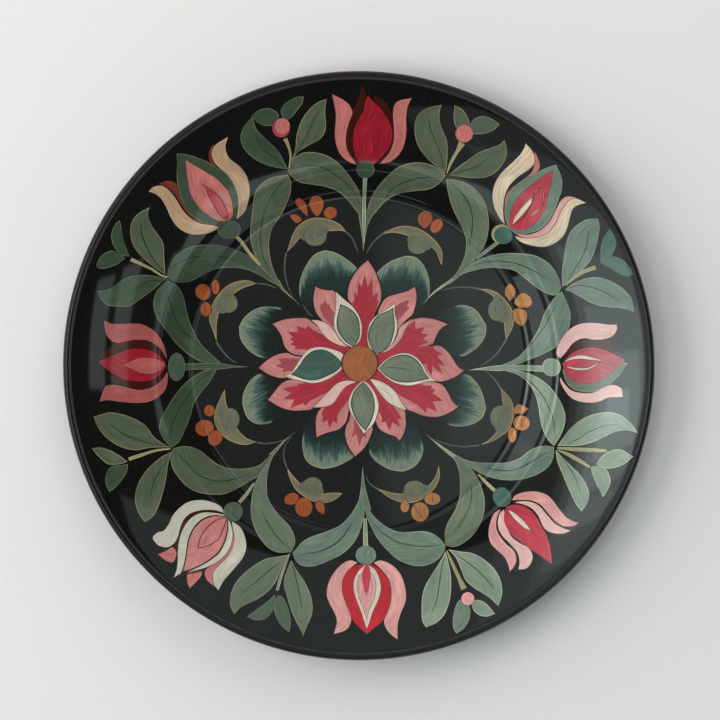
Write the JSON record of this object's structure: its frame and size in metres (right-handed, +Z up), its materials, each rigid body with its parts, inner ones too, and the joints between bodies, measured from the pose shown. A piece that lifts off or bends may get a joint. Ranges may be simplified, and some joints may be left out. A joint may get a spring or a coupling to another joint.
{
  "type": "painted tray",
  "caption": "Round pressed-steel tray with a wired rim, glossy dark lacquer and a painted floral ornament, and a swinging wire bail on the back.",
  "frame": {"origin": "centre of the flat underside that the tray stands on", "axes": "+Z up out of the well, +Y towards the hanging bail, which is the top of the ornament when the tray hangs; +X to the right seen from above"},
  "size_m": [0.3, 0.3, 0.018],
  "materials": {
    "lacquer": "high-gloss dark lacquer, almost black with a green-blue cast",
    "wire": "drawn steel wire, bright, slightly dulled"
  },
  "bodies": {
    "tray": {"tray_pan": "lacquer", "rim_wire": "wire", "bail_strap": "lacquer"},
    "bail": {"hanging_bail": "wire"}
  },
  "joints": [
    {"name": "bail_swing", "type": "hinge", "parent": "tray", "child": "bail", "pos_m": [0, 0.1255, 0.00926], "axis": [1, 0, 0], "range_deg": [-73, 106]}
  ]
}
